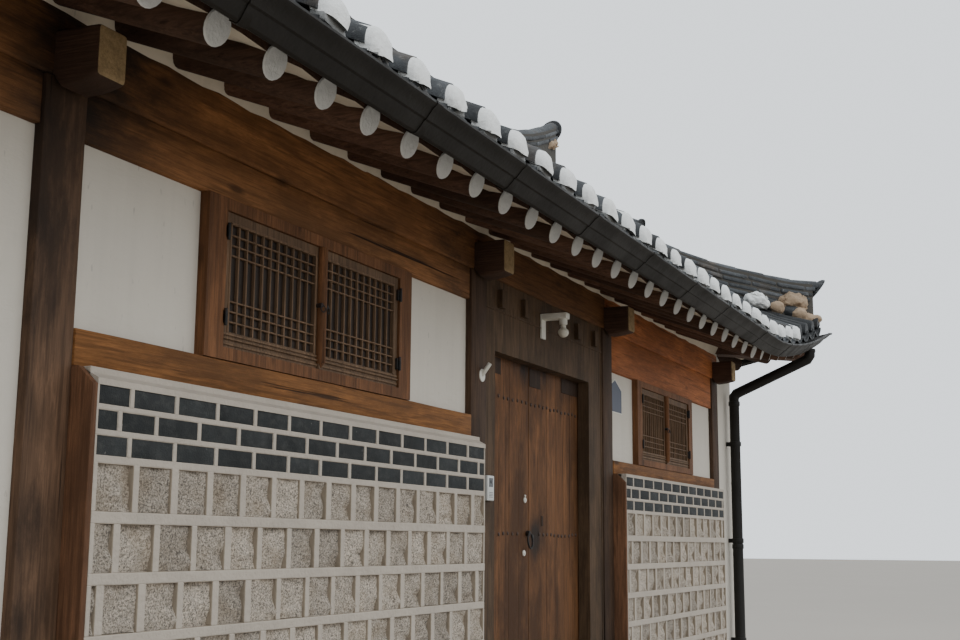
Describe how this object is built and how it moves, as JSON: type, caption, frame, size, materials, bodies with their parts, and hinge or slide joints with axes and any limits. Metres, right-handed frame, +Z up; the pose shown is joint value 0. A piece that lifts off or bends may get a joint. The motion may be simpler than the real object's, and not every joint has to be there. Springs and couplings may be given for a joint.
{
  "type": "traditional courtyard house street wing",
  "caption": "Hollow timber-framed house wing under a hip-and-gable tiled roof with upturned corners, with a double plank gate, lattice windows and granite and brick lower walls.",
  "frame": {"origin": "on the ground, under the centre of the plan's bounding box", "axes": "+X along the street front towards the downpipe, +Y from the street to the courtyard side, +Z up"},
  "size_m": [12.9724, 4.4244, 5.02],
  "materials": {
    "post": "weathered dark stained timber",
    "beam": "oiled brown timber",
    "sill": "orange-brown timber",
    "plaster": "lime plaster",
    "granite": "granite blocks and dark brick in raised mortar",
    "board": "brown timber board",
    "gate": "brown timber planks",
    "window": "brown timber lattice",
    "rafter": "dark timber",
    "tile": "dark grey fired clay tiles",
    "ridge": "dark grey fired clay tiles on mortar",
    "fill": "earth and lime plaster under the tiles",
    "gutter": "dark olive painted sheet metal",
    "stone": "grey granite",
    "floor": "grey mortar"
  },
  "bodies": {
    "house": {"front_post_0": "post", "crossbeam_0": "beam", "front_post_1": "post", "crossbeam_1": "beam", "front_post_2": "post", "crossbeam_2": "beam", "front_post_3": "post", "crossbeam_3": "beam", "front_post_4": "post", "crossbeam_4": "beam", "lintel_0": "beam", "front_plaster_0": "plaster", "lintel_1": "beam", "front_plaster_1": "plaster", "lintel_3": "beam", "front_plaster_3": "plaster", "sill_1": "sill", "fire_wall_1": "granite", "end_board_1": "board", "window_frame_1": "window", "window_casements_1": "window", "sill_3": "sill", "fire_wall_3": "granite", "end_board_3": "board", "window_frame_3": "window", "window_casements_3": "window", "front_purlin": "beam", "back_purlin": "beam", "ridge_purlin": "beam", "gate_frame": "post", "gate_step": "stone", "floor_slab": "floor", "end_wall_left": "plaster", "end_wall_right": "plaster", "back_frame": "post", "back_plaster_0": "plaster", "back_plaster_1": "plaster", "back_plaster_2": "plaster", "back_plaster_3": "plaster", "back_window_0": "window", "back_window_1": "window", "back_window_3": "window", "rafters_front": "rafter", "rafters_back": "rafter", "rafters_left": "rafter", "rafters_right": "rafter", "roof_fill": "fill", "roof_cover": "tile", "main_ridge": "ridge", "corner_ridge_front_right": "ridge", "corner_ridge_front_left": "ridge", "corner_ridge_back_right": "ridge", "corner_ridge_back_left": "ridge", "gable_left": "board", "gable_right": "board", "gutter": "gutter", "downpipe": "gutter"},
    "left_gate_leaf": {"gate_leaf_left": "gate"},
    "right_gate_leaf": {"gate_leaf_right": "gate"}
  },
  "joints": [
    {"name": "left_gate_hinge", "type": "hinge", "parent": "house", "child": "left_gate_leaf", "pos_m": [0.727, -1.2015, 0.17], "axis": [0, 0, 1], "range_deg": [0, 90]},
    {"name": "right_gate_hinge", "type": "hinge", "parent": "house", "child": "right_gate_leaf", "pos_m": [2.312, -1.2015, 0.17], "axis": [0, 0, -1], "range_deg": [0, 90]}
  ]
}
